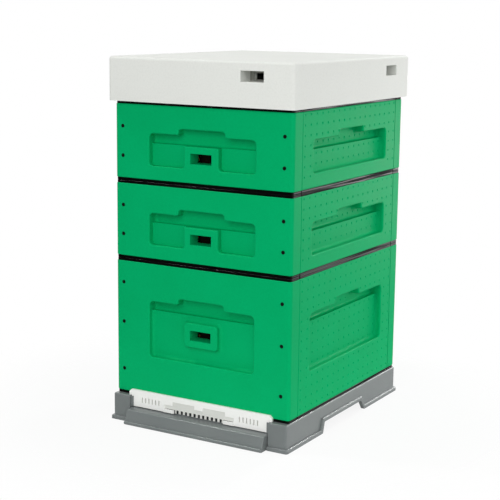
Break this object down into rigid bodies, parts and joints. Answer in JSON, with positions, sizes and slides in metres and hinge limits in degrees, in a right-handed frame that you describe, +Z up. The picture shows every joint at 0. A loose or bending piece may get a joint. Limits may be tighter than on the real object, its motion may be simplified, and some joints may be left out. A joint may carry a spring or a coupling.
{
  "type": "beehive",
  "caption": "Foam-walled Dadant beehive: skirted bottom board with toothed entrance gate, brood box, stacked supers with hanging frames, crown board and vented roof.",
  "frame": {"origin": "centre of the outer box on the ground, under the skirt of the bottom board", "axes": "+X to the hive's right seen from the front, the entrance faces -Y, +Z up"},
  "size_m": [0.4588, 0.5835, 0.8128],
  "materials": {
    "green_foam": "satin",
    "white_foam": "matte",
    "black_plastic": "satin",
    "grey_plastic": "satin",
    "white_plastic": "satin",
    "gate_plastic": "satin",
    "tray_plastic": "satin",
    "black_screw": "satin",
    "pine": "matte",
    "beeswax": "satin",
    "crown_sheet": "gloss"
  },
  "bodies": {
    "bottom": {"bottom_board": "grey_plastic", "landing_board": "grey_plastic", "floor_grille": "grey_plastic"},
    "tray": {"inspection_tray": "tray_plastic"},
    "closure": {"entrance_closure": "white_plastic"},
    "gate": {"entrance_gate": "gate_plastic"},
    "brood_box": {"brood_front_panel": "green_foam", "brood_back_panel": "green_foam", "brood_left_panel": "green_foam", "brood_right_panel": "green_foam", "brood_edgings": "black_plastic", "brood_screws": "black_screw"},
    "brood_frame_set": {"brood_frame_01": "pine", "brood_frame_02": "pine", "brood_frame_03": "pine", "brood_frame_04": "pine", "brood_frame_05": "pine", "brood_frame_06": "pine", "brood_frame_07": "pine", "brood_frame_08": "pine", "brood_frame_09": "pine", "brood_frame_10": "pine", "brood_foundations": "beeswax"},
    "lower_super_box": {"lower_super_front_panel": "green_foam", "lower_super_back_panel": "green_foam", "lower_super_left_panel": "green_foam", "lower_super_right_panel": "green_foam", "lower_super_edgings": "black_plastic", "lower_super_screws": "black_screw"},
    "lower_super_frame_set": {"lower_super_frame_01": "pine", "lower_super_frame_02": "pine", "lower_super_frame_03": "pine", "lower_super_frame_04": "pine", "lower_super_frame_05": "pine", "lower_super_frame_06": "pine", "lower_super_frame_07": "pine", "lower_super_frame_08": "pine", "lower_super_frame_09": "pine", "lower_super_frame_10": "pine", "lower_super_foundations": "beeswax"},
    "upper_super_box": {"upper_super_front_panel": "green_foam", "upper_super_back_panel": "green_foam", "upper_super_left_panel": "green_foam", "upper_super_right_panel": "green_foam", "upper_super_edgings": "black_plastic", "upper_super_screws": "black_screw"},
    "upper_super_frame_set": {"upper_super_frame_01": "pine", "upper_super_frame_02": "pine", "upper_super_frame_03": "pine", "upper_super_frame_04": "pine", "upper_super_frame_05": "pine", "upper_super_frame_06": "pine", "upper_super_frame_07": "pine", "upper_super_frame_08": "pine", "upper_super_frame_09": "pine", "upper_super_frame_10": "pine", "upper_super_foundations": "beeswax"},
    "crown": {"crown_board": "crown_sheet"},
    "roof": {"roof": "white_foam"}
  },
  "joints": [
    {"name": "tray_slide", "type": "slide", "parent": "bottom", "child": "tray", "axis": [0, 1, 0], "range_m": [0, 0.42]},
    {"name": "closure_lift", "type": "slide", "parent": "bottom", "child": "closure", "axis": [0, 0, 1], "range_m": [0, 0.045]},
    {"name": "gate_lift", "type": "slide", "parent": "closure", "child": "gate", "axis": [0, 0, 1], "range_m": [0, 0.009]},
    {"name": "brood_box_lift", "type": "slide", "parent": "bottom", "child": "brood_box", "axis": [0, 0, 1], "range_m": [0, 0.12]},
    {"name": "brood_frames_lift", "type": "slide", "parent": "brood_box", "child": "brood_frame_set", "axis": [0, 0, 1], "range_m": [0, 0.31]},
    {"name": "lower_super_lift", "type": "slide", "parent": "brood_frame_set", "child": "lower_super_box", "axis": [0, 0, 1], "range_m": [0, 0.12]},
    {"name": "lower_super_frames_lift", "type": "slide", "parent": "lower_super_box", "child": "lower_super_frame_set", "axis": [0, 0, 1], "range_m": [0, 0.17]},
    {"name": "upper_super_lift", "type": "slide", "parent": "lower_super_frame_set", "child": "upper_super_box", "axis": [0, 0, 1], "range_m": [0, 0.12]},
    {"name": "upper_super_frames_lift", "type": "slide", "parent": "upper_super_box", "child": "upper_super_frame_set", "axis": [0, 0, 1], "range_m": [0, 0.17]},
    {"name": "crown_lift", "type": "slide", "parent": "upper_super_frame_set", "child": "crown", "axis": [0, 0, 1], "range_m": [0, 0.16]},
    {"name": "roof_lift", "type": "slide", "parent": "crown", "child": "roof", "axis": [0, 0, 1], "range_m": [0, 0.12]}
  ]
}
